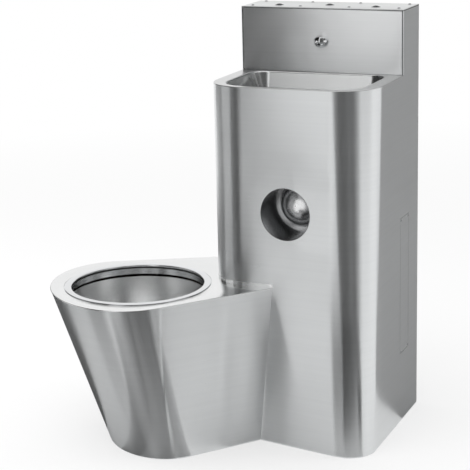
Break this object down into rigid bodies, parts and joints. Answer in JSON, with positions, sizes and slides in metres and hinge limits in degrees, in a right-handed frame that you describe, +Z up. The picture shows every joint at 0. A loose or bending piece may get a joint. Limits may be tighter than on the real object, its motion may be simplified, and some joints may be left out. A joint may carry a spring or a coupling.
{
  "type": "toilet and basin combination unit",
  "caption": "Stainless steel floor standing toilet pan joined at an angle to a wash basin tower with push buttons, a wall spout, a recessed paper pocket and a side access panel.",
  "frame": {"origin": "on the floor at the wall, in the middle of the tower's width", "axes": "+Z up, +Y into the wall behind the unit, +X to the right seen from the front"},
  "size_m": [0.799, 0.6793, 1.0465],
  "materials": {
    "brushed_casing": "brushed along the sheet",
    "satin_sheet": "satin sanded",
    "polished_steel": "polished",
    "inner_steel": "mill finish",
    "screw_steel": "plain",
    "spring_steel": "drawn wire",
    "valve_brass": "machined",
    "copper_pipe": "drawn copper tube",
    "black_plastic": "moulded",
    "waste_plastic": "moulded",
    "seal_rubber": "moulded"
  },
  "bodies": {
    "unit": {"body_shell": "brushed_casing", "back_plate": "inner_steel", "basin_deck": "satin_sheet", "splash_panel": "brushed_casing", "top_lid": "brushed_casing", "lid_rails": "inner_steel", "lid_screws": "screw_steel", "deck_brackets": "inner_steel", "basin_bowl": "satin_sheet", "basin_waste": "polished_steel", "waste_nut": "waste_plastic", "basin_trap": "waste_plastic", "waste_pipe": "waste_plastic", "paper_pocket": "satin_sheet", "pocket_dome": "polished_steel", "access_frame": "inner_steel", "access_panel": "brushed_casing", "access_screws": "screw_steel", "spout": "polished_steel", "spout_nut": "valve_brass", "mixing_pipe": "copper_pipe", "button_bushes": "black_plastic", "flush_spring": "spring_steel", "cold_spring": "spring_steel", "hot_spring": "spring_steel", "flush_valve": "valve_brass", "cold_valve": "valve_brass", "hot_valve": "valve_brass", "cold_supply": "copper_pipe", "hot_supply": "copper_pipe", "flush_supply": "copper_pipe", "flush_pipe": "copper_pipe", "pan_skirt": "brushed_casing", "pan_top": "satin_sheet", "pan_cove": "satin_sheet", "seat_ring": "polished_steel", "pan_bowl": "satin_sheet", "flush_ring": "copper_pipe", "pan_trap": "inner_steel", "outlet_seal": "seal_rubber", "base_angles": "inner_steel", "pan_foot": "inner_steel"},
    "flush_button": {"flush_button": "polished_steel"},
    "cold_button": {"cold_button": "polished_steel"},
    "hot_button": {"hot_button": "polished_steel"}
  },
  "joints": [
    {"name": "flush_press", "type": "slide", "parent": "unit", "child": "flush_button", "axis": [0, 0, -1], "range_m": [0, 0.005], "stiffness_N_per_m": 400, "springref_m": -0.008, "deforming": ["flush_spring"]},
    {"name": "cold_press", "type": "slide", "parent": "unit", "child": "cold_button", "axis": [0, 0, -1], "range_m": [0, 0.005], "stiffness_N_per_m": 400, "springref_m": -0.008, "deforming": ["cold_spring"]},
    {"name": "hot_press", "type": "slide", "parent": "unit", "child": "hot_button", "axis": [0, 0, -1], "range_m": [0, 0.005], "stiffness_N_per_m": 400, "springref_m": -0.008, "deforming": ["hot_spring"]}
  ]
}
